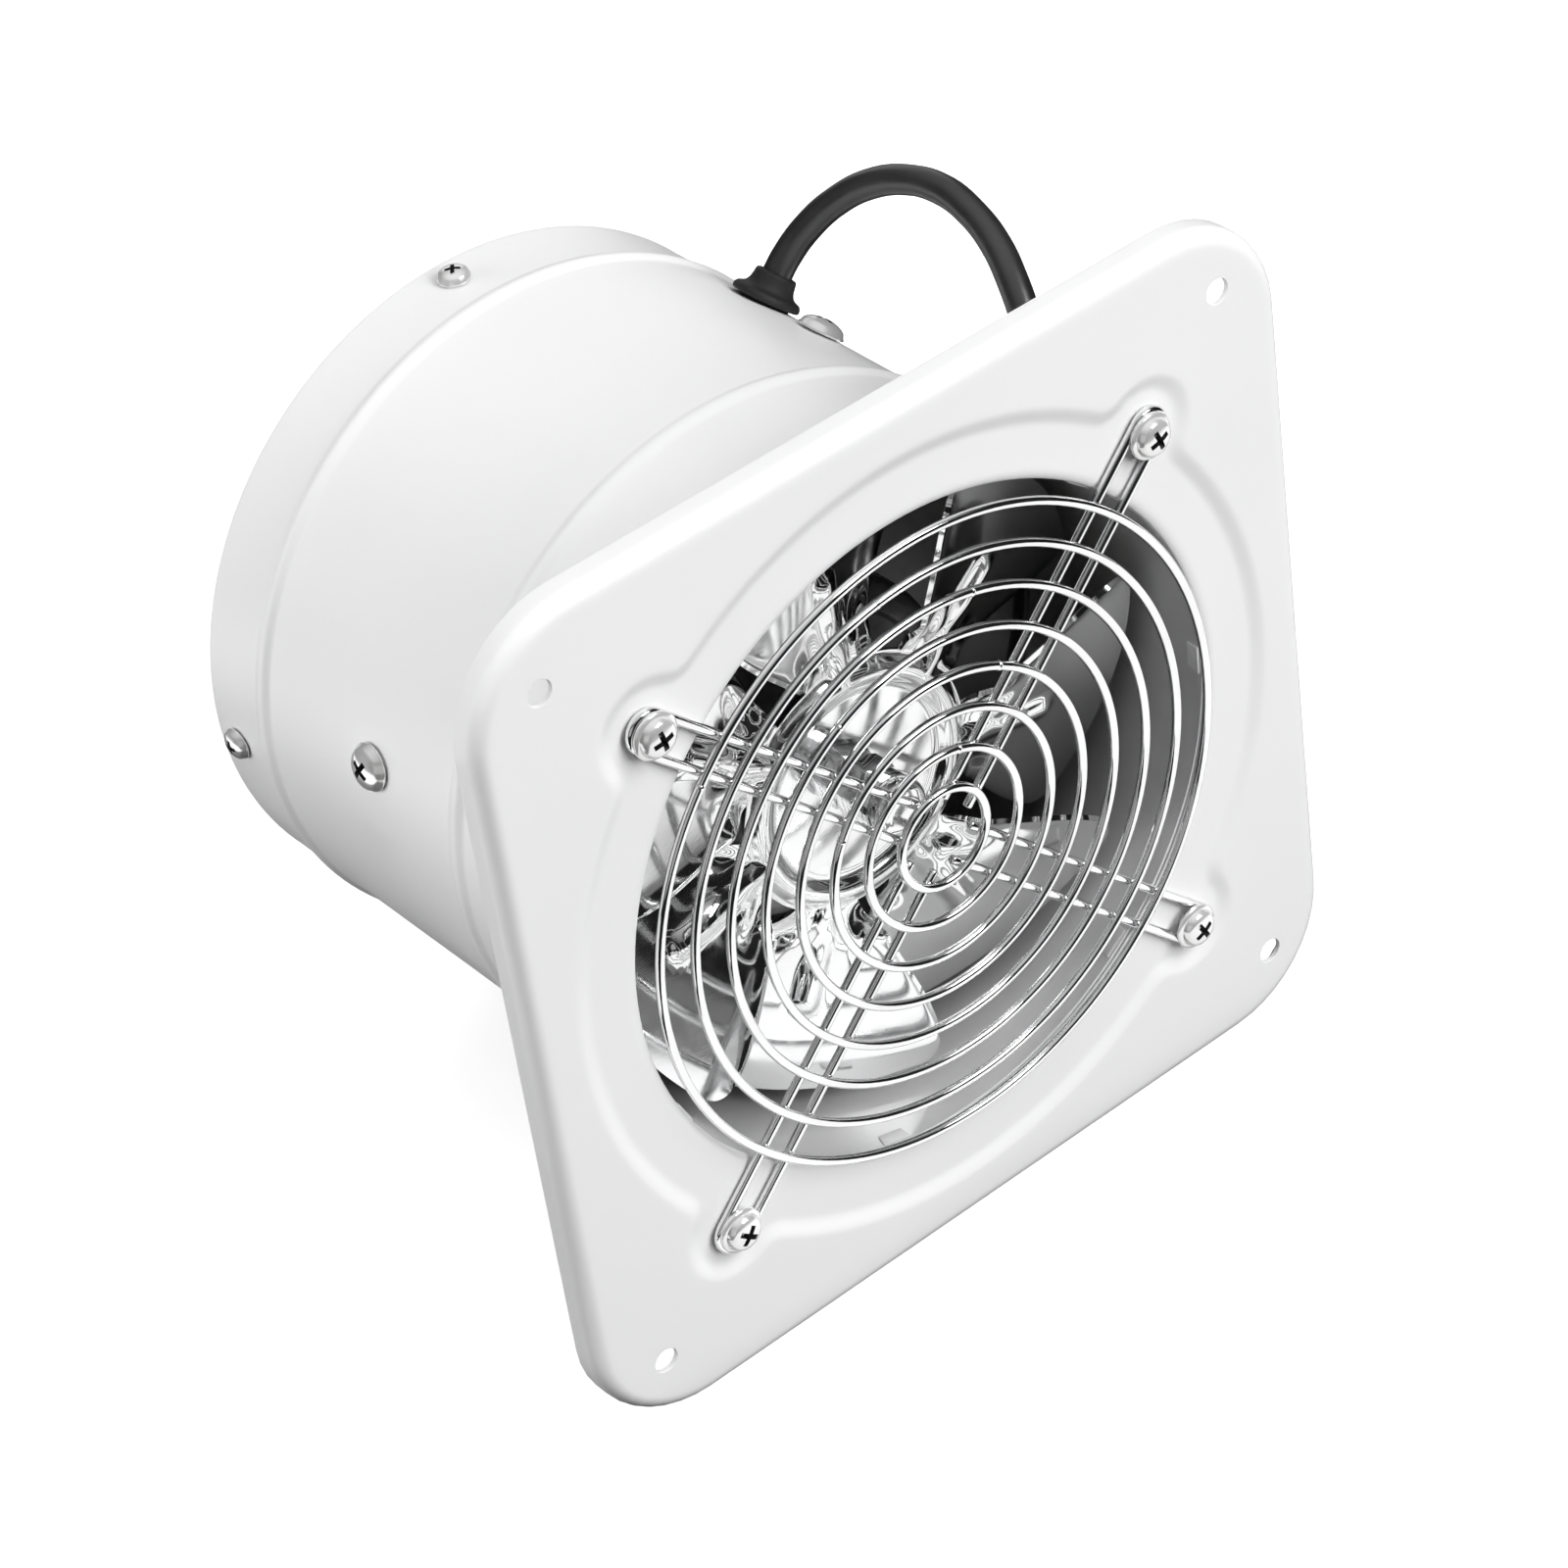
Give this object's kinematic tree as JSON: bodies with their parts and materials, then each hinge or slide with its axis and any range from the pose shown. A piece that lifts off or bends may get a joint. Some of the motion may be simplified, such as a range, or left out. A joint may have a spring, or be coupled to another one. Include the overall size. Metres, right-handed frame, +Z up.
{
  "type": "inline duct fan",
  "caption": "Inline duct fan: a short round white metal duct with a square wall flange, wire guards, an axial impeller, a motor on a bracket and a supply cable.",
  "frame": {"origin": "on the duct axis, in the wall plane that the flange's folded rim meets", "axes": "+Y along the duct axis from the wall plane into the duct, in the direction of the air; +Z up; +X to the right as seen from the flange side"},
  "size_m": [0.2, 0.1515, 0.2],
  "materials": {
    "white_paint": "gloss",
    "chrome_wire": "polished",
    "polished_steel": "polished",
    "zinc_steel": "satin",
    "lamination": "satin",
    "cast_aluminium": "cast",
    "copper_winding": "enamelled copper",
    "bronze": "sintered bronze",
    "rubber": "matte",
    "cable_jacket": "satin"
  },
  "bodies": {
    "housing": {"flange_plate": "white_paint", "duct_tube": "white_paint", "front_guard": "chrome_wire", "rear_guard": "chrome_wire", "guard_screw_1": "chrome_wire", "guard_screw_2": "chrome_wire", "guard_screw_3": "chrome_wire", "guard_screw_4": "chrome_wire", "rear_screw_1": "chrome_wire", "rear_screw_2": "chrome_wire", "rear_screw_3": "chrome_wire", "rear_screw_4": "chrome_wire", "bracket_screw_1": "chrome_wire", "bracket_screw_2": "chrome_wire", "bracket_screw_3": "chrome_wire", "guard_nut_1": "zinc_steel", "guard_nut_2": "zinc_steel", "guard_nut_3": "zinc_steel", "guard_nut_4": "zinc_steel", "rear_nut_1": "zinc_steel", "rear_nut_2": "zinc_steel", "rear_nut_3": "zinc_steel", "rear_nut_4": "zinc_steel", "bracket_nut_1": "zinc_steel", "bracket_nut_2": "zinc_steel", "bracket_nut_3": "zinc_steel", "motor_bolt_1": "zinc_steel", "motor_bolt_2": "zinc_steel", "motor_bolt_3": "zinc_steel", "motor_nut_1": "zinc_steel", "motor_nut_2": "zinc_steel", "motor_nut_3": "zinc_steel", "motor_bracket": "zinc_steel", "plug_pin_1": "zinc_steel", "plug_pin_2": "zinc_steel", "stator_core": "lamination", "motor_front_cover": "cast_aluminium", "motor_rear_cover": "cast_aluminium", "winding_front": "copper_winding", "winding_rear": "copper_winding", "front_bearing": "bronze", "rear_bearing": "bronze", "cable_grommet": "rubber", "plug_body": "rubber", "cord_tie": "rubber", "inner_lead": "cable_jacket", "power_cord": "cable_jacket", "power_cord_tail": "cable_jacket", "cord_coil": "cable_jacket"},
    "rotor": {"impeller": "polished_steel", "impeller_boss": "cast_aluminium", "impeller_nut": "chrome_wire", "shaft_end_cap": "chrome_wire", "motor_shaft": "zinc_steel", "rotor_core": "lamination"}
  },
  "joints": [
    {"name": "impeller_spin", "type": "hinge", "parent": "housing", "child": "rotor", "pos_m": [0, 0, 0], "axis": [0, 1, 0], "continuous": true}
  ]
}
